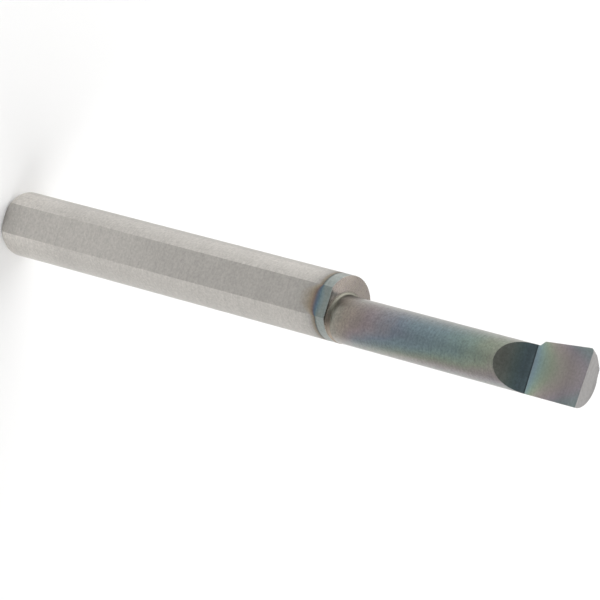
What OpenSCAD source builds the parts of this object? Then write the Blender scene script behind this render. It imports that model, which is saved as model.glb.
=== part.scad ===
// One-piece boring bar: round shank with a locating flat, slim neck set off centre, ground cutting head.
// The bar stands on its rear face. +Z runs up to the cutting end, the flat and the rake face look along
// -Y, the nose points along -X, and the origin is the centre of the rear face, on the shank's axis.

/* [Shank] */
// Diameter of the round shank
shank_d = 6.35; // [5.5:0.05:10]
// Length of the shank, from its rear face to the shoulder
shank_len = 42.9; // [30:0.1:80]
// Radius of the rounded rear edge
rear_edge_r = 0.5; // [0.1:0.05:0.8]
// Depth of the locating flat that runs along the shank
flat_depth = 0.36; // [0.1:0.02:0.6]

/* [Neck] */
// Diameter of the neck
neck_d = 4.47; // [3.4:0.01:5.4]
// How far the back of the neck stands inside the shank's round side
neck_back_step = 0.05; // [0.02:0.01:0.4]
// Fillet at the foot of the neck, left by the corner of the grinding wheel
shoulder_fillet = 0.3; // [0.1:0.05:0.6]
// Length from the shoulder to the tip of the nose
reach = 28; // [20:0.1:45]

/* [Cutting head] */
// How far the nose stands out beyond the neck
nose_rise = 0.905; // [0.6:0.005:1.2]
// Radius of the cutting nose, seen square to the rake face
nose_r = 0.3; // [0.1:0.05:0.4]
// Length of the head that stands out beyond the neck
head_len = 5.25; // [3.5:0.05:7]
// Slope of the head's back down to the neck, in degrees
head_back_slope = 45; // [30:5:60]
// Rise of the side cutting edge towards the nose, in degrees
side_taper = 5.4; // [1:0.1:8]
// Fall of the end cutting edge away from the nose, in degrees
end_retreat = 2.2; // [1:0.1:8]
// Lean of the end face below its cutting edge, in degrees
end_relief = 8; // [4:0.5:14]
// Clearance of the narrow land under the side edge, in degrees
land_clearance = 20; // [8:1:28]
// Depth of that land below the rake face
land_depth = 0.54; // [0.2:0.02:0.9]
// Clearance of the wide flank under the land, in degrees
flank_clearance = 42; // [34:1:50]
// Slope of the heel where the flank runs into the round neck, in degrees
heel_slope = 9; // [4:1:12]

/* [Rake face and gullet] */
// Length of the rake face, from the tip of the nose to the foot of the gullet
rake_len = 5.88; // [4:0.02:8]
// Radius of the wheel that sweeps the gullet out of the neck
gullet_r = 10; // [5:0.5:16]
// Slope of the gullet at its foot, in degrees
gullet_foot_slope = 30; // [20:1:45]

/* [Hidden] */
$fn = 128;
nose_arc_steps = 16;
shank_r = shank_d / 2;
neck_r = neck_d / 2;
neck_drop = shank_r - neck_r - neck_back_step;
neck_top = neck_r - neck_drop;
nose_height = neck_top + nose_rise;
// On a slim shank the fillet takes no more than this share of the ledge between neck and flat
ledge_share = 0.8;
fillet_r = min(shoulder_fillet, ledge_share * (shank_r - flat_depth - neck_r));
bar_len = shank_len + reach;
// Cutters run past the metal by one of these
over = 1;
wide = 3 * shank_d;
// The nose arc's centre, and the points where the side edge and the end edge leave the arc
nose_centre = [bar_len - nose_r, nose_height - nose_r];
side_tangent = nose_centre + nose_r * [-sin(side_taper), cos(side_taper)];
end_tangent = nose_centre + nose_r * [cos(end_retreat), -sin(end_retreat)];
// Corner of the head over the neck, where the side edge stops
head_corner = [bar_len - head_len, side_tangent.y - (side_tangent.x - bar_len + head_len) * tan(side_taper)];
// Where the heel starts: an angle round the neck, and a depth under its surface
heel_turn = 12;
heel_inset = neck_r / 50;
// Seen from the end as [z, y]: foot of the land, start of the heel, corner between the two
land_foot = [nose_height - land_depth * tan(land_clearance), land_depth];
heel_start = (neck_r - heel_inset) * [sin(heel_turn), cos(heel_turn)] - [neck_drop, 0];
heel_rise = (heel_start.y - land_foot.y - (land_foot.x - heel_start.x) / tan(flank_clearance))
    / (tan(heel_slope) - 1 / tan(flank_clearance));
heel_corner = heel_start + heel_rise * [1, -tan(heel_slope)];
foot_x = bar_len - rake_len;

// Turns a solid of revolution from +Z to +X
module along_x() {
    rotate([0, 90, 0])
        children();
}

// The cuts are laid out as on the grinder: the bar runs along +X and its nose points along +Z
module round_blank() {
    along_x()
        rotate_extrude() {
            translate([0, rear_edge_r])
                square([shank_r, bar_len + over - rear_edge_r]);
            square([shank_r - rear_edge_r, 2 * rear_edge_r]);
            translate([shank_r - rear_edge_r, rear_edge_r])
                circle(r = rear_edge_r);
        }
}

module locating_flat() {
    translate([-over, flat_depth - shank_r - wide, -wide / 2])
        cube([shank_len + 2 * over, wide, wide]);
}

// The metal ground off round the neck, up to the shoulder and its fillet
module ground_off() {
    translate([0, 0, -neck_drop])
        along_x()
            rotate_extrude()
                difference() {
                    translate([neck_r, shank_len])
                        square([wide, reach + wide]);
                    fillet_corner();
                }
}

module fillet_corner() {
    difference() {
        translate([neck_r - over, shank_len - over])
            square(over + fillet_r);
        translate([neck_r + fillet_r, shank_len + fillet_r])
            circle(r = fillet_r);
    }
}

// A point of the rake face, as [x, z], moved to the plane square to the leaning end and side faces
function leaning(p) = [
    (p.x - bar_len) * cos(end_relief),
    (p.y - (p.x - bar_len) * sin(end_relief) * tan(land_clearance)) * cos(land_clearance)
];

// Stands an outline of the rake face up into a prism whose walls lean with the head's clearances
module leaning_prism(outline) {
    translate([bar_len, 0, 0])
        rotate([-land_clearance, 0, end_relief])
            rotate([90, 0, 0])
                translate([0, 0, -wide])
                    linear_extrude(2 * wide)
                        polygon([for (p = outline) leaning(p)]);
}

// Seen square to the rake face: nose arc, side edge, sloping back of the head, end edge
module head_plan() {
    nose_arc = [
        for (i = [0:nose_arc_steps])
            let (a = -end_retreat + i * (90 + side_taper + end_retreat) / nose_arc_steps)
                nose_centre + nose_r * [cos(a), sin(a)]
    ];
    leaning_prism(concat(nose_arc, [
        head_corner,
        head_corner - (head_corner.y + wide) * [1 / tan(head_back_slope), 1],
        end_tangent - [(end_tangent.y + wide) * tan(end_retreat), end_tangent.y + wide]
    ]));
}

// Seen from the end: wide flank and heel, carried back along the side edge
module head_section() {
    translate([bar_len, 0, 0])
        rotate([0, -side_taper, 0])
            rotate([0, -90, 0])
                translate([0, 0, -over])
                    linear_extrude(2 * head_len + over)
                        polygon([
                            land_foot + (land_depth + over) * [tan(flank_clearance), -1],
                            heel_corner,
                            heel_start,
                            [heel_start.x, -over]
                        ]);
}

// Everything beyond the leaning end face
module past_the_end() {
    leaning_prism([
        end_tangent - [(end_tangent.y + wide) * tan(end_retreat), end_tangent.y + wide],
        end_tangent + [(wide - end_tangent.y) * tan(end_retreat), wide - end_tangent.y],
        [bar_len + wide, wide],
        [bar_len + wide, -wide]
    ]);
}

// Half of the head is ground away for the rake face, and the wheel runs out in the gullet behind it
module rake_and_gullet() {
    translate([0, 0, -wide])
        linear_extrude(2 * wide) {
            translate([foot_x, -wide])
                square([rake_len + wide, wide]);
            intersection() {
                translate([foot_x + gullet_r * sin(gullet_foot_slope), -gullet_r * cos(gullet_foot_slope)])
                    circle(r = gullet_r);
                translate([foot_x - wide, -wide])
                    square([wide, wide]);
            }
        }
}

module boring_bar() {
    color([0.62, 0.63, 0.62])
        rotate([0, -90, 0])
            difference() {
                union() {
                    difference() {
                        round_blank();
                        locating_flat();
                        ground_off();
                    }
                    intersection() {
                        head_section();
                        head_plan();
                    }
                }
                past_the_end();
                rake_and_gullet();
            }
}

boring_bar();
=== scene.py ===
import math

import bmesh
import bpy
from mathutils import Matrix, Vector


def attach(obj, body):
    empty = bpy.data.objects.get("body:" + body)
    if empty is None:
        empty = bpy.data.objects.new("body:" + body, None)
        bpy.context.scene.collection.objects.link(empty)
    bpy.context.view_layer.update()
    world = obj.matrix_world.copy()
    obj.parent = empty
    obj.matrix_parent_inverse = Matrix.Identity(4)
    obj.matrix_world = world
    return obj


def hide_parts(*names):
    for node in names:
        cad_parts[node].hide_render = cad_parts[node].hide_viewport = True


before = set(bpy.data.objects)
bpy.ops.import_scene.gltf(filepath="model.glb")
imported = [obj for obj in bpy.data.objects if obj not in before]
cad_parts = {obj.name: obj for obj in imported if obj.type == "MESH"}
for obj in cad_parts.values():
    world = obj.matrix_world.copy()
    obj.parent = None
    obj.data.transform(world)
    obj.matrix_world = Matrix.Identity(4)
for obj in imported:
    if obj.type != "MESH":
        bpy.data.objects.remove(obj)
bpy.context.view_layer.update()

# A boring bar ground from one rod of carbide, with a thin coloured film over its front half. The bar keeps
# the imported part's shape, its edges are broken, and each of its ground surfaces gets a finish of its own.
# It stands on its rear face: +Z runs up to the cutting head, the flat and the rake face look along -Y, and
# the nose points along -X. Places in the finishes are in mm, and a tone of 1 leaves a colour as it is.

# A millimetre in metres
MM = 0.001

# Sizes of the bar in mm, as the part gives them
SHANK_R = 3.175
FLAT_Y = -2.815
FLAT_HALF_WIDTH = 1.468
SHOULDER_Z = 42.9
FILLET_R = 0.3
NECK_X = 0.89
NECK_R = 2.235
GULLET_TOP_Z = 62.4
FOOT_Z = 65.02
TIP_Z = 70.9
# Below this height the front of the bar is all neck
HEAD_FROM_Z = 62.0

# Ground edges are broken by a few hundredths of a millimetre, and they are rubbed a little further in
EDGE_BREAK = 0.03 * MM
EDGE_RUB = 0.08 * MM
# Edges that turn by more than the first angle are broken, turns of less than the second are shaded smooth
EDGE_ANGLE = math.radians(18)
SMOOTH_ANGLE = math.radians(30)
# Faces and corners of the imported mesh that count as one
SAME_PLANE = math.radians(0.05)
SAME_PLACE = 0.0001 * MM

# The bare carbide as ground, the painted sheen of the film where the eye looks along it, and edges rubbed
# bright
CARBIDE = (0.557, 0.536, 0.506, 1.0)
SHEEN_PALE = (0.58, 0.567, 0.537, 1.0)
RUBBED = (0.72, 0.70, 0.67, 1.0)
# Greys of the coated carbide: on the band, on the shoulder and deepest in its painted shade beside the flat,
# where the gullet runs out, and on the end face
BAND_GREY = (0.36, 0.36, 0.35, 1.0)
SHOULDER_GREY = (0.27, 0.27, 0.255, 1.0)
GULLET_GREY = (0.250, 0.243, 0.234, 1.0)
END_FACE = (0.4623, 0.4502, 0.4453, 1.0)

# Scratches in a mm along each axis, where the wheel went round the bar
ROUND_THE_BAR = (0.5, 0.5, 5.0)
# Depth of the scratches and how strongly they show in the relief
MARK_DEPTH = 0.004 * MM
MARK_RELIEF = 0.35
# Broad streaks beside the fine ones, and what streaks and mottle do to the gloss
BROAD_SHARE = 0.4
STREAKS_IN_GLOSS = 0.12
MOTTLE_IN_GLOSS = 0.08
# How much of the rubbed colour shows at an edge, and the roughness of the film's own surface
RUBBED_SHARE = 0.35
FILM_ROUGHNESS = 0.3

# Where the band's rear edge lies on the round side and in the middle of the flat
BAND_Z = 41.78
BAND_ON_FLAT_Z = 41.43

# What a film of thickness 0 to 1 does to the carbide's colour, in the order of interference colours
FILM_ORDER = [
    (0.00, (1.00, 1.00, 1.00)),
    (0.04, (0.92, 0.88, 0.80)),
    (0.08, (0.80, 0.71, 0.58)),
    (0.13, (0.63, 0.50, 0.42)),
    (0.17, (0.48, 0.41, 0.41)),
    (0.21, (0.34, 0.39, 0.51)),
    (0.26, (0.30, 0.45, 0.62)),
    (0.31, (0.41, 0.59, 0.68)),
    (0.36, (0.555, 0.66, 0.67)),
    (0.40, (0.56, 0.60, 0.54)),
    (0.455, (0.60, 0.545, 0.48)),
    (0.48, (0.585, 0.515, 0.47)),
    (0.515, (0.515, 0.445, 0.445)),
    (0.545, (0.53, 0.455, 0.505)),
    (0.59, (0.44, 0.445, 0.525)),
    (0.635, (0.315, 0.40, 0.525)),
    (0.67, (0.297, 0.435, 0.525)),
    (0.70, (0.30, 0.445, 0.525)),
    (0.74, (0.32, 0.48, 0.495)),
    (0.78, (0.365, 0.50, 0.44)),
    (0.82, (0.435, 0.52, 0.42)),
    (0.855, (0.49, 0.49, 0.45)),
    (0.89, (0.48, 0.44, 0.45)),
    (0.93, (0.445, 0.42, 0.485)),
    (0.965, (0.35, 0.415, 0.465)),
    (1.00, (0.33, 0.42, 0.44)),
]

# Thickness of the film by mm past the band's rear edge: in the middle of the flat it thins out over three mm,
# on the round side it stops sharply
FILM_ON_FLAT = [
    (-2.1, 0.0),
    (-1.03, 0.05),
    (-0.73, 0.075),
    (-0.43, 0.115),
    (-0.03, 0.21),
    (0.47, 0.315),
    (0.97, 0.36),
]
FILM_ON_ROUND = [(-0.6, 0.0), (-0.18, 0.07), (-0.06, 0.10), (-0.02, 0.355), (0.1, 0.36)]
# Thickness of the film along the neck, from the shoulder to the head
FILM_ON_NECK = [
    (43.0, 0.40),
    (44.5, 0.455),
    (46.5, 0.515),
    (49.0, 0.59),
    (51.0, 0.635),
    (55.0, 0.70),
    (59.0, 0.76),
    (62.0, 0.825),
]
# Thickness of the film along the rake face, from its foot to the tip
FILM_ON_RAKE = [
    (65.1, 0.66),
    (65.6, 0.73),
    (66.2, 0.78),
    (67.0, 0.82),
    (68.0, 0.855),
    (69.0, 0.89),
    (70.9, 0.93),
]

# Tone of the carbide that the heat darkened, by mm past the band's rear edge
HEAT_ON_ROUND = [
    (-3.5, 1.0),
    (-1.6, 0.93),
    (-0.9, 0.82),
    (-0.5, 0.67),
    (-0.3, 0.59),
    (-0.12, 0.54),
    (-0.02, 0.44),
    (0.07, 0.66),
    (0.17, 1.0),
]
HEAT_ON_FLAT = [(-2.6, 1.0), (-1.4, 0.88), (0.0, 0.9), (0.6, 1.0)]

# Painted shade on the shoulder beside the flat, as the share of tone kept, by mm past the slanting line
SHADE_BESIDE_FLAT = [
    (-0.15, 1.0),
    (-0.05, 0.85),
    (0.10, 0.48),
    (0.20, 0.48),
    (0.41, 0.66),
    (0.70, 0.88),
    (3.0, 0.87),
]

# Painted shade and highlights up the profile of the corner between shoulder and neck, where the fillet lies
# from -0.3 to 0.3:
# on the nose's side the foot of the neck is painted dark, on the far side there are painted light lines
NOSE_SIDE_FOOT_SHADE = [
    (-0.42, 1.0),
    (-0.32, 0.84),
    (-0.24, 1.0),
    (-0.08, 0.95),
    (0.15, 0.50),
    (0.34, 0.54),
    (0.60, 0.58),
    (1.10, 0.66),
    (2.10, 0.90),
    (3.00, 1.0),
]
FAR_SIDE_FOOT_LIGHT_AND_SHADE = [
    (-0.46, 1.0),
    (-0.36, 1.20),
    (-0.28, 1.20),
    (-0.16, 0.90),
    (-0.05, 0.80),
    (0.10, 0.90),
    (0.20, 1.12),
    (0.32, 1.25),
    (0.60, 1.15),
    (1.20, 1.0),
]
# Painted shade and light on the fillet by its place across the bar
FILLET_LIGHT_AND_SHADE = [
    (-1.6, 0.864),
    (-0.9, 0.960),
    (-0.3, 0.936),
    (0.2, 0.864),
    (0.7, 0.648),
    (1.5, 0.672),
    (2.1, 1.104),
    (3.1, 0.960),
]

# Soft bands of painted highlight and shade along the front, by the place round it from the nose's side (-1) to
# the far side (1)
PAINTED_BANDS_ON_SHANK = [
    (-1.0, 0.94),
    (-0.94, 0.90),
    (-0.866, 1.09),
    (-0.707, 1.05),
    (-0.574, 0.98),
    (0.574, 0.99),
    (0.707, 0.97),
    (0.94, 0.97),
    (1.0, 0.94),
]
PAINTED_BANDS_AT_SHOULDER = [
    (-0.99, 1.0),
    (-0.93, 0.90),
    (-0.84, 0.92),
    (-0.68, 0.97),
    (-0.40, 0.99),
    (0.03, 0.90),
    (0.45, 1.01),
    (0.73, 0.84),
    (0.88, 0.95),
    (0.95, 0.88),
    (1.0, 0.86),
]
PAINTED_BANDS_AT_HEAD = [
    (-0.99, 0.92),
    (-0.93, 0.96),
    (-0.84, 1.06),
    (-0.68, 1.16),
    (-0.40, 1.23),
    (0.03, 0.89),
    (0.45, 1.04),
    (0.73, 0.86),
    (0.88, 1.06),
    (0.95, 1.03),
    (1.0, 0.97),
]


def welded_bar(cad_node):
    """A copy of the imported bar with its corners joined, its flat faces whole and its ground edges broken."""
    ground = bmesh.new()
    ground.from_mesh(cad_node.data)
    bmesh.ops.remove_doubles(ground, verts=ground.verts, dist=SAME_PLACE)
    bmesh.ops.dissolve_limit(
        ground,
        angle_limit=SAME_PLANE,
        verts=ground.verts,
        edges=ground.edges,
        delimit={"NORMAL"},
    )
    mesh = bpy.data.meshes.new("carbide_bar")
    ground.to_mesh(mesh)
    ground.free()
    bar = bpy.data.objects.new("carbide_bar", mesh)
    bpy.context.scene.collection.objects.link(bar)
    bevel = bar.modifiers.new("broken_edges", "BEVEL")
    bevel.width = EDGE_BREAK
    bevel.segments = 2
    bevel.limit_method = "ANGLE"
    bevel.angle_limit = EDGE_ANGLE
    bevel.use_clamp_overlap = True
    bpy.context.view_layer.update()
    seen = bpy.context.evaluated_depsgraph_get()
    bar.data = bpy.data.meshes.new_from_object(bar.evaluated_get(seen), depsgraph=seen)
    bar.modifiers.clear()
    bpy.data.meshes.remove(mesh)
    bar.data.name = "carbide_bar"
    bar.data.shade_smooth()
    bar.data.set_sharp_from_angle(angle=SMOOTH_ANGLE)
    return bar


def new_tree(name, inputs, outputs):
    """A shader node group with named sockets: the group, what it is given and what it makes."""
    tree = bpy.data.node_groups.new(name, "ShaderNodeTree")
    for label, kind in inputs:
        tree.interface.new_socket(name=label, in_out="INPUT", socket_type=kind)
    for label, kind in outputs:
        tree.interface.new_socket(name=label, in_out="OUTPUT", socket_type=kind)
    return tree, put(tree, "NodeGroupInput").outputs, put(tree, "NodeGroupOutput").inputs


def put(tree, kind, **settings):
    """Adds a node to a tree."""
    node = tree.nodes.new(kind)
    for key, value in settings.items():
        setattr(node, key, value)
    return node


def feed(tree, socket, value):
    """Links a socket to another, or sets it to a plain value."""
    if isinstance(value, bpy.types.NodeSocket):
        tree.links.new(value, socket)
    elif socket.type == "VECTOR":
        socket.default_value = value[:3]
    else:
        socket.default_value = value


def sums(tree, operation, a, b=0.0, c=0.0):
    """One sum with sockets or plain numbers."""
    node = put(tree, "ShaderNodeMath", operation=operation)
    feed(tree, node.inputs[0], a)
    feed(tree, node.inputs[1], b)
    feed(tree, node.inputs[2], c)
    return node.outputs[0]


def less(tree, value, taken_off):
    return sums(tree, "SUBTRACT", value, taken_off)


def raised(tree, value, share, amount):
    """A value with a share of an amount added."""
    return sums(tree, "MULTIPLY_ADD", share, amount, value)


def varied(tree, value, noise_value, amount):
    """A value with noise added that leaves its middle where it was."""
    return raised(tree, value, less(tree, noise_value, 0.5), amount)


def times(tree, *factors):
    product = factors[0]
    for factor in factors[1:]:
        product = sums(tree, "MULTIPLY", product, factor)
    return product


def between(tree, value, low, high, to_low=0.0, to_high=1.0, smooth=True):
    """Carries a value from one range to another and holds it at the ends."""
    node = put(tree, "ShaderNodeMapRange")
    node.interpolation_type = "SMOOTHSTEP" if smooth else "LINEAR"
    node.clamp = True
    feed(tree, node.inputs["Value"], value)
    node.inputs["From Min"].default_value = low
    node.inputs["From Max"].default_value = high
    node.inputs["To Min"].default_value = to_low
    node.inputs["To Max"].default_value = to_high
    return node.outputs[0]


def ramp(tree, place, stops):
    """A colour that changes along a run from 0 to 1: pairs of place and colour."""
    node = put(tree, "ShaderNodeValToRGB")
    colours = node.color_ramp
    colours.interpolation = "LINEAR"
    colours.elements[0].color = (*stops[0][1], 1)
    colours.elements[1].color = (*stops[-1][1], 1)
    for at, colour in stops[1:-1]:
        colours.elements.new(at).color = (*colour, 1)
    feed(tree, node.inputs[0], place)
    return node.outputs["Color"]


def course(tree, place, levels):
    """A level that changes along a run: pairs of place and level, which may pass 1."""
    first = levels[0][0]
    run = levels[-1][0] - first
    most = max(level for _, level in levels)
    stops = [((at - first) / run, (level / most,) * 3) for at, level in levels]
    along = between(tree, place, first, first + run, smooth=False)
    return times(tree, ramp(tree, along, stops), most)


def blend_colours(tree, share, first, second, how="MIX"):
    node = put(tree, "ShaderNodeMix", data_type="RGBA", blend_type=how)
    node.clamp_factor = True
    feed(tree, node.inputs[0], share)
    feed(tree, node.inputs[6], first)
    feed(tree, node.inputs[7], second)
    return node.outputs[2]


def noise(tree, where, scale, detail=2.0, roughness=0.5):
    node = put(tree, "ShaderNodeTexNoise", noise_dimensions="3D")
    feed(tree, node.inputs["Vector"], where)
    node.inputs["Scale"].default_value = scale
    node.inputs["Detail"].default_value = detail
    node.inputs["Roughness"].default_value = roughness
    return node.outputs[0]


def axes(tree, where):
    """The three parts of a place."""
    node = put(tree, "ShaderNodeSeparateXYZ")
    feed(tree, node.inputs[0], where)
    return node.outputs


def film_colours():
    """The bare metal's colour seen through a film of some thickness."""
    tree, given, made = new_tree(
        "film_colours",
        [("Thickness", "NodeSocketFloat"), ("Bare", "NodeSocketColor")],
        [("Coated", "NodeSocketColor")],
    )
    tint = ramp(tree, given["Thickness"], FILM_ORDER)
    feed(tree, made["Coated"], blend_colours(tree, 1.0, given["Bare"], tint, how="MULTIPLY"))
    return tree


def grinding_marks():
    """Fine and broad scratches of a grinding wheel, and the metal's mottle under them."""
    tree, given, made = new_tree(
        "grinding_marks",
        [("Where", "NodeSocketVector"), ("Lines", "NodeSocketVector")],
        [("Fine", "NodeSocketFloat"), ("Broad", "NodeSocketFloat"), ("Mottle", "NodeSocketFloat")],
    )
    drawn_out = put(tree, "ShaderNodeVectorMath", operation="MULTIPLY")
    feed(tree, drawn_out.inputs[0], given["Where"])
    feed(tree, drawn_out.inputs[1], given["Lines"])
    feed(tree, made["Fine"], noise(tree, drawn_out.outputs[0], 1.0, 3.0, 0.6))
    feed(tree, made["Broad"], noise(tree, drawn_out.outputs[0], 0.16, 2.0, 0.5))
    feed(tree, made["Mottle"], noise(tree, given["Where"], 4.5, 2.0, 0.6))
    return tree


def edge_wear():
    """Rubbed edges: rounded normals part from the surface's own there, and a grain breaks up the rub."""
    tree, given, made = new_tree(
        "edge_wear",
        [("Reach", "NodeSocketFloat"), ("Where", "NodeSocketVector")],
        [("Worn", "NodeSocketFloat")],
    )
    rounded = put(tree, "ShaderNodeBevel")
    rounded.samples = 6
    feed(tree, rounded.inputs["Radius"], given["Reach"])
    own = put(tree, "ShaderNodeNewGeometry")
    apart = put(tree, "ShaderNodeVectorMath", operation="DOT_PRODUCT")
    feed(tree, apart.inputs[0], rounded.outputs[0])
    feed(tree, apart.inputs[1], own.outputs["Normal"])
    near_edge = between(tree, apart.outputs["Value"], 0.999, 0.93)
    grain = between(tree, noise(tree, given["Where"], 2.2, 3.0), 0.35, 0.65, 0.5, 1.0)
    feed(tree, made["Worn"], times(tree, near_edge, grain))
    return tree


def corner_shade_and_highlights():
    """Painted shade and highlight lines round the foot of the neck, and how far up the corner's profile a
    place is.
    """
    tree, given, made = new_tree(
        "corner_shade_and_highlights",
        [("Where", "NodeSocketVector")],
        [("Tone", "NodeSocketFloat"), ("Up", "NodeSocketFloat")],
    )
    x, y, z = axes(tree, given["Where"])
    across = sums(tree, "POWER", less(tree, x, NECK_X), 2.0)
    squared = sums(tree, "MULTIPLY_ADD", y, y, across)
    out_from_neck = less(tree, sums(tree, "SQRT", squared), NECK_R)
    up = less(tree, less(tree, z, SHOULDER_Z), out_from_neck)
    nose_side = between(tree, x, 0.4, -0.6)
    # Where the front of the neck turns away from the flat, the painted shade at its foot is deeper and reaches
    # further up
    turned_away = times(tree, between(tree, x, -0.8, -1.3), between(tree, y, 0.9, 0.2))
    reached = times(tree, between(tree, up, 0.0, 0.2), between(tree, up, 2.6, 0.8))
    deeper = raised(tree, 1.0, times(tree, turned_away, reached), -0.56)
    near = times(tree, nose_side, course(tree, up, NOSE_SIDE_FOOT_SHADE), deeper)
    far = times(tree, less(tree, 1.0, nose_side), course(tree, up, FAR_SIDE_FOOT_LIGHT_AND_SHADE))
    # Round the back of the neck the painted lines fade out
    lines = less(tree, sums(tree, "ADD", near, far), 1.0)
    feed(tree, made["Tone"], raised(tree, 1.0, lines, between(tree, y, 2.0, 1.0)))
    feed(tree, made["Up"], up)
    return tree


def front_painted_bands():
    """Painted bands of highlight and shade kept to the front of the bar: round its sides they even out."""
    tree, given, made = new_tree(
        "front_painted_bands",
        [("Where", "NodeSocketVector"), ("Bands", "NodeSocketFloat")],
        [("Tone", "NodeSocketFloat")],
    )
    in_front = between(tree, axes(tree, given["Where"])["Y"], 0.1, -0.5)
    feed(tree, made["Tone"], raised(tree, 1.0, less(tree, given["Bands"], 1.0), in_front))
    return tree


FILM = film_colours()
MARKS = grinding_marks()
WEAR = edge_wear()
CORNER_LIGHT_AND_SHADE = corner_shade_and_highlights()
FRONT_PAINTED_BANDS = front_painted_bands()


class Finish:
    """One ground surface: a material with its places in mm, ready for a colour, marks and gloss."""

    def __init__(self, name):
        self.material = bpy.data.materials.new(name)
        self.material.use_nodes = True
        self.tree = self.material.node_tree
        self.tree.nodes.clear()
        out = put(self.tree, "ShaderNodeOutputMaterial")
        self.metal = put(self.tree, "ShaderNodeBsdfPrincipled")
        feed(self.tree, out.inputs["Surface"], self.metal.outputs[0])
        coordinates = put(self.tree, "ShaderNodeTexCoord")
        in_mm = put(self.tree, "ShaderNodeMapping")
        in_mm.inputs["Scale"].default_value = (1 / MM, 1 / MM, 1 / MM)
        feed(self.tree, in_mm.inputs["Vector"], coordinates.outputs["Object"])
        self.where = in_mm.outputs[0]
        self.x, self.y, self.z = axes(self.tree, self.where)

    def group(self, tree, **inputs):
        """Places a shader node group with its inputs fed, and gives its outputs."""
        node = put(self.tree, "ShaderNodeGroup", node_tree=tree)
        for label, value in inputs.items():
            feed(self.tree, node.inputs[label], value)
        return node.outputs

    def sideways(self, axis_x, radius):
        """How far a point of a round side lies from the nose's side to the far side: -1 to 1."""
        return sums(self.tree, "DIVIDE", less(self.tree, self.x, axis_x), radius)

    def coated(self, thickness):
        """The carbide seen through a film of that thickness."""
        return self.group(FILM, Thickness=thickness, Bare=CARBIDE)["Coated"]

    def corner(self):
        """Painted shade and highlights round the foot of the neck, and Up, the way up the corner's profile."""
        return self.group(CORNER_LIGHT_AND_SHADE, Where=self.where)

    def bands(self, levels):
        """Painted bands of highlight and shade along the front of the bar."""
        return self.group(FRONT_PAINTED_BANDS, Where=self.where, Bands=levels)["Tone"]

    def sheen(self, colour, most):
        """The same colour, paler where the eye looks along the surface: a painted sheen."""
        layer = put(self.tree, "ShaderNodeLayerWeight")
        layer.inputs["Blend"].default_value = 0.5
        share = between(self.tree, layer.outputs["Facing"], 0.22, 0.80, 0.0, most)
        return blend_colours(self.tree, share, colour, SHEEN_PALE)

    def finish(self, colour, tone, lines, rough, streaks=0.30, grain=0.42, spread=0.0, coat=0.0):
        """Colour at a tone, with streaks and grain in it, worn edges, roughness, relief and a glossy film."""
        t = self.tree
        marks = self.group(MARKS, Where=self.where, Lines=lines)
        shade = varied(t, 1.0, marks["Fine"], streaks)
        shade = varied(t, shade, marks["Broad"], streaks * BROAD_SHARE)
        shade = varied(t, shade, marks["Mottle"], grain)
        shaded = put(t, "ShaderNodeVectorMath", operation="SCALE")
        feed(t, shaded.inputs[0], colour)
        feed(t, shaded.inputs["Scale"], times(t, shade, tone))
        worn = times(t, self.group(WEAR, Reach=EDGE_RUB, Where=self.where)["Worn"], RUBBED_SHARE)
        feed(t, self.metal.inputs["Base Color"], blend_colours(t, worn, shaded.outputs[0], RUBBED))
        gloss = varied(t, rough, marks["Fine"], STREAKS_IN_GLOSS)
        gloss = varied(t, gloss, marks["Mottle"], MOTTLE_IN_GLOSS)
        feed(t, self.metal.inputs["Roughness"], gloss)
        relief = put(t, "ShaderNodeBump")
        relief.inputs["Strength"].default_value = MARK_RELIEF
        relief.inputs["Distance"].default_value = MARK_DEPTH
        feed(t, relief.inputs["Height"], marks["Fine"])
        feed(t, self.metal.inputs["Normal"], relief.outputs[0])
        feed(t, self.metal.inputs["Coat Weight"], coat)
        self.metal.inputs["Coat Roughness"].default_value = FILM_ROUGHNESS
        self.metal.inputs["Metallic"].default_value = 1.0
        if spread:
            # Scratches that run round the axis spread a highlight along it
            self.metal.inputs["Anisotropic"].default_value = spread
            round_the_axis = put(t, "ShaderNodeTangent", direction_type="RADIAL", axis="Z")
            feed(t, self.metal.inputs["Tangent"], round_the_axis.outputs[0])
        return self.material


def shank_finish():
    """Bare ground carbide, with the front band's grey-green film stopping sharply and heat tint behind it."""
    f = Finish("ground_carbide_shank")
    t = f.tree
    round_place = f.sideways(0.0, SHANK_R)
    # The band's rear edge slants a little round the shank
    depth = less(t, f.z, raised(t, BAND_Z, round_place, 0.12))
    coated = f.coated(course(t, depth, FILM_ON_ROUND))
    on_band = between(t, depth, -0.1, 0.1, smooth=False)
    colour = blend_colours(t, on_band, coated, f.sheen(blend_colours(t, 0.25, coated, BAND_GREY), 0.4))
    # The rear end is painted paler against the floor's shade round it, and the far side darkens toward the
    # head
    painted_rear_light = between(t, f.z, 0.0, 10.0, 1.18, 0.95)
    far_side = between(t, f.x, -0.5, 0.5)
    darkening = raised(t, 1.0, far_side, between(t, f.z, 4.0, 36.0, 0.045, -0.045, smooth=False))
    # Painted bands of highlight and shade round the front
    bands = f.bands(course(t, round_place, PAINTED_BANDS_ON_SHANK))
    tone = times(t, painted_rear_light, course(t, depth, HEAT_ON_ROUND), bands, darkening)
    return f.finish(colour, tone, ROUND_THE_BAR, 0.42, grain=0.6, spread=0.6)


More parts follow.
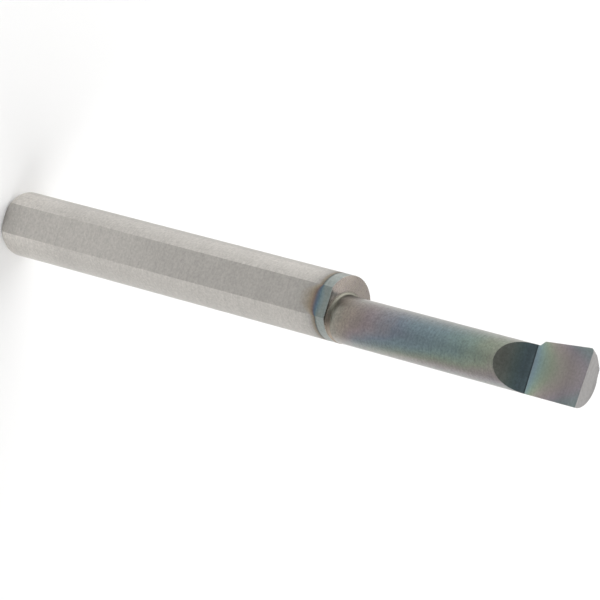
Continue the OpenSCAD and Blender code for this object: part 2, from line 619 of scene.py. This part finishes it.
def flat_finish():
    """The locating flat: a duller grind, with blue, brown and straw fringes behind the band."""
    f = Finish("ground_flat")
    t = f.tree
    # The fringes start further back in the middle of the flat, and are closer together at its sides
    from_middle = sums(t, "DIVIDE", sums(t, "ABSOLUTE", f.x), FLAT_HALF_WIDTH)
    aside = sums(t, "POWER", from_middle, 4.0)
    depth = less(t, f.z, raised(t, BAND_ON_FLAT_Z, aside, 0.35))
    thickness = course(t, times(t, depth, raised(t, 1.0, aside, 2.0)), FILM_ON_FLAT)
    # Painted light: the flat is paler toward the rear end, against the floor's shade there
    tone = times(t, between(t, f.z, 13.0, 24.0, 0.84, 0.755), course(t, depth, HEAT_ON_FLAT))
    return f.finish(f.coated(thickness), tone, (0.4, 0.4, 5.0), 0.48, grain=0.56)


def shoulder_finish():
    """The crescent of the shoulder: straw film, with a dark wedge of painted shade beside the flat."""
    f = Finish("coated_shoulder")
    t = f.tree
    thickness = varied(t, 0.49, noise(t, f.where, 1.6), 0.10)
    across = between(t, f.y, -2.0, 0.6, 1.72, 1.18)
    corner = f.corner()
    # The wedge of painted shade starts at a slanting line, lies between flat and fillet, and is darker by the
    # flat's edge
    past_line = raised(t, sums(t, "ADD", f.x, 1.22), f.y, 0.05)
    by_the_edge = times(t, between(t, f.y, -2.35, -2.72, 0.0, 0.5), between(t, past_line, -0.3, 0.0))
    kept = times(t, course(t, past_line, SHADE_BESIDE_FLAT), less(t, 1.0, by_the_edge))
    beside_flat = times(t, between(t, f.y, -1.75, -2.05), between(t, corner["Up"], -0.34, -0.42))
    wedge = times(t, beside_flat, less(t, 1.0, kept))
    tone = times(t, across, less(t, 1.0, wedge), corner["Tone"])
    colour = blend_colours(t, raised(t, 0.3, wedge, 0.9), f.coated(thickness), SHOULDER_GREY)
    return f.finish(colour, tone, (4.0, 0.5, 4.0), 0.28, streaks=0.16, grain=0.26, coat=0.3)


def fillet_finish():
    """The wheel's fillet at the foot of the neck: straw film, duller than the shoulder's, with painted shade
    and light.
    """
    f = Finish("coated_fillet")
    t = f.tree
    tone = times(t, course(t, f.x, FILLET_LIGHT_AND_SHADE), f.corner()["Tone"])
    thickness = between(t, f.x, 0.5, 1.8, 0.42, 0.465)
    return f.finish(f.coated(thickness), tone, ROUND_THE_BAR, 0.62)


def neck_finish():
    """The neck: its film runs from straw over purple and blue to green, and is thicker on the far side."""
    f = Finish("coated_neck")
    t = f.tree
    round_place = f.sideways(NECK_X, NECK_R)
    far_side = sums(t, "POWER", sums(t, "MAXIMUM", round_place, 0.0), 2.2)
    thicker = times(t, between(t, f.z, 43.8, 46.6, 0.04, 0.27), between(t, f.z, 54.0, 62.0, 1.0, 0.6))
    thickness = raised(t, course(t, f.z, FILM_ON_NECK), far_side, thicker)
    thickness = varied(t, thickness, noise(t, f.where, 0.8), 0.05)
    colour = f.sheen(f.coated(thickness), 0.75)
    # In front the painted shade at the foot is lighter just over the fillet
    corner = f.corner()
    over_fillet = times(t, between(t, f.y, -1.95, -2.2), between(t, corner["Up"], 0.6, 0.25))
    foot = times(t, corner["Tone"], raised(t, 1.0, over_fillet, 0.7))
    # Painted bands of highlight and shade round the front, from the shoulder's to the head's
    toward_head = between(t, f.z, 46.5, 53.5)
    at_shoulder = course(t, round_place, PAINTED_BANDS_AT_SHOULDER)
    at_head = course(t, round_place, PAINTED_BANDS_AT_HEAD)
    bands = f.bands(blend_colours(t, toward_head, at_shoulder, at_head))
    tone = times(t, between(t, f.z, 56.0, 62.0, 0.69, 0.75), foot, bands)
    # Where painted shade darkens the foot it is duller too
    clean = sums(t, "MINIMUM", corner["Tone"], 1.0)
    rough = raised(t, 0.68, clean, -0.30)
    coat = times(t, 0.7, clean)
    return f.finish(colour, tone, ROUND_THE_BAR, rough, streaks=0.5, grain=1.0, spread=0.8, coat=coat)


def gullet_finish():
    """The gullet: dark blue-green at its foot, grey where the wheel ran out."""
    f = Finish("coated_gullet")
    t = f.tree
    thickness = between(t, f.z, 62.6, 64.6, 0.81, 0.68, smooth=False)
    greying = between(t, f.z, 64.2, 62.9, 0.0, 0.6)
    colour = blend_colours(t, greying, f.coated(thickness), GULLET_GREY)
    # Painted shade darkens the gullet in the corner at the foot of the rake face
    tone = times(
        t,
        between(t, f.z, 64.86, 64.98, 0.70, 0.34),
        between(t, f.z, 62.9, 64.1, 1.14, 1.0),
        between(t, f.x, 1.1, 2.1, 1.0, 1.13),
    )
    return f.finish(colour, tone, (0.5, 5.0, 5.0), 0.4, grain=0.7, coat=0.5)


def rake_finish():
    """The rake face: fringes from blue over green and straw to purple, nearer the foot at both sides."""
    f = Finish("coated_rake_face")
    t = f.tree
    aside = sums(t, "POWER", less(t, f.x, 0.4), 2.0)
    thickness = raised(t, course(t, f.z, FILM_ON_RAKE), aside, 0.012)
    toward_tip = between(t, f.z, 69.0, 70.6, 0.80, 1.05)
    at_the_foot = between(t, f.z, 65.0, 67.2, 1.25, 1.0)
    at_the_sides = raised(t, 1.0, aside, between(t, f.z, 69.0, 67.0, 0.0, 0.036))
    tone = times(t, toward_tip, at_the_foot, at_the_sides)
    return f.finish(f.coated(thickness), tone, ROUND_THE_BAR, 0.36, grain=0.62, coat=0.5)


def end_finish():
    """The end face, under an even grey film."""
    f = Finish("coated_end_face")
    return f.finish(END_FACE, 1.0, (0.5, 5.0, 0.5), 0.45)


def flank_finish():
    """The sides and back of the head: film from blue-green by the neck to purple at the tip."""
    f = Finish("coated_flanks")
    thickness = between(f.tree, f.z, HEAD_FROM_Z, TIP_Z, 0.74, 0.92, smooth=False)
    return f.finish(f.sheen(f.coated(thickness), 0.4), 0.8, ROUND_THE_BAR, 0.4, coat=0.5)


def rear_finish():
    """The rear face as ground, without a film."""
    f = Finish("ground_rear_face")
    return f.finish(CARBIDE, 1.0, (6.0, 0.4, 6.0), 0.48)


FINISHES = {
    "shank": shank_finish,
    "flat": flat_finish,
    "shoulder": shoulder_finish,
    "fillet": fillet_finish,
    "neck": neck_finish,
    "gullet": gullet_finish,
    "rake": rake_finish,
    "end": end_finish,
    "flank": flank_finish,
    "rear": rear_finish,
}


def surface_of(centre, normal):
    """Which ground surface a face belongs to, by its place in mm and the way it looks, with a little play."""
    x, y, z = centre
    out_from_neck = math.hypot(x - NECK_X, y) - NECK_R
    looks_up = normal.z > 0.9
    if z < 0.02 and normal.z < -0.9:
        return "rear"
    if z < SHOULDER_Z - 0.02:
        on_flat = abs(y - FLAT_Y) < 0.01 and normal.y < -0.99
        return "flat" if on_flat else "shank"
    if looks_up and z < SHOULDER_Z + 0.002:
        return "shoulder"
    if z < SHOULDER_Z + FILLET_R - 0.005 and out_from_neck > 0.0005:
        return "fillet"
    if looks_up and z > FOOT_Z:
        return "end"
    if normal.y < -0.98 and abs(y) < 0.02 and z > FOOT_Z - 0.05:
        return "rake"
    by_the_gullet = GULLET_TOP_Z - 0.1 < z < FOOT_Z + 0.05
    if by_the_gullet and normal.y < -0.3 and normal.z > 0.3 and abs(normal.x) < 0.05:
        return "gullet"
    if abs(out_from_neck) < 0.03 or z < HEAD_FROM_Z:
        return "neck"
    return "flank"


def lay_finishes(bar):
    """Gives the bar its materials, and each face the one of its surface."""
    names = list(FINISHES)
    for name in names:
        bar.data.materials.append(FINISHES[name]())
    for face in bar.data.polygons:
        face.material_index = names.index(surface_of(face.center / MM, face.normal))


bar = welded_bar(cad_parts["boring_bar"])
lay_finishes(bar)
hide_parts("boring_bar")
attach(bar, "root")


# The studio, with its lengths in metres
FLOOR_HALF = 3.0
FLOOR_Z = -0.02 * MM
FLOOR_COLOUR = (0.90, 0.90, 0.90, 1.0)
LAMP_AIM = (0.0, 0.0, 0.04)
ROOM_COLOUR = (1.0, 0.995, 0.985, 1.0)
CAMERA_LENS = 235.09
CAMERA_PLACE = (0.0142334, -0.2715895, 0.272405)
CAMERA_RIGHT = (-0.290688, 0.61787, 0.730573)
CAMERA_UP = (-0.956029, -0.218553, -0.195558)
CAMERA_FORWARD = (-0.03884, 0.755296, -0.654232)


def pale_floor():
    material = bpy.data.materials.new("pale_floor")
    material.use_nodes = True
    matt = material.node_tree.nodes["Principled BSDF"]
    matt.inputs["Base Color"].default_value = FLOOR_COLOUR
    matt.inputs["Roughness"].default_value = 0.8
    matt.inputs["Specular IOR Level"].default_value = 0.1
    return material


def lay_floor():
    """A plain sheet a hair under the bar's rear face."""
    mesh = bpy.data.meshes.new("floor")
    corners = [(x * FLOOR_HALF, y * FLOOR_HALF, FLOOR_Z) for x, y in ((-1, -1), (1, -1), (1, 1), (-1, 1))]
    mesh.from_pydata(corners, [], [(0, 1, 2, 3)])
    mesh.materials.append(pale_floor())
    sheet = bpy.data.objects.new("floor", mesh)
    bpy.context.scene.collection.objects.link(sheet)


def hang_panel(name, place, width, height, watts):
    """A soft rectangular lamp that looks at the bar."""
    light = bpy.data.lights.new(name, "AREA")
    light.shape = "RECTANGLE"
    light.size = width
    light.size_y = height
    light.energy = watts
    lamp = bpy.data.objects.new(name, light)
    lamp.location = place
    lamp.rotation_euler = (Vector(LAMP_AIM) - Vector(place)).to_track_quat("-Z", "Y").to_euler()
    lamp.visible_camera = False
    bpy.context.scene.collection.objects.link(lamp)


def light_room():
    """An even pale room, dimmer on the side that the flat looks at."""
    world = bpy.data.worlds.new("studio")
    bpy.context.scene.world = world
    world.use_nodes = True
    tree = world.node_tree
    tree.nodes.clear()
    out = put(tree, "ShaderNodeOutputWorld")
    room = put(tree, "ShaderNodeBackground")
    direction = put(tree, "ShaderNodeTexCoord")
    looking_back = axes(tree, direction.outputs["Generated"])["Y"]
    feed(tree, room.inputs["Strength"], between(tree, looking_back, -0.6, 0.6, 0.30, 0.65))
    feed(tree, room.inputs["Color"], ROOM_COLOUR)
    feed(tree, out.inputs["Surface"], room.outputs[0])


def set_camera():
    """A camera at the photograph's place, turned by its own right, up and forward directions."""
    data = bpy.data.cameras.new("camera")
    data.lens = CAMERA_LENS
    data.sensor_width = 36
    data.clip_start = 0.01
    data.clip_end = 20
    eye = bpy.data.objects.new("camera", data)
    turned = Matrix((CAMERA_RIGHT, CAMERA_UP, -Vector(CAMERA_FORWARD))).transposed().to_4x4()
    eye.matrix_world = Matrix.Translation(CAMERA_PLACE) @ turned
    bpy.context.scene.collection.objects.link(eye)
    bpy.context.scene.camera = eye


lay_floor()
hang_panel("left_panel", (-0.60, 0.12, 0.36), 0.9, 0.62, 5.2)
hang_panel("right_panel", (0.60, 0.12, 0.36), 0.9, 0.62, 4.3)
hang_panel("back_panel", (0.0, 0.55, 0.40), 0.6, 0.4, 0.12)
light_room()
set_camera()
bpy.context.scene.view_settings.view_transform = "Standard"
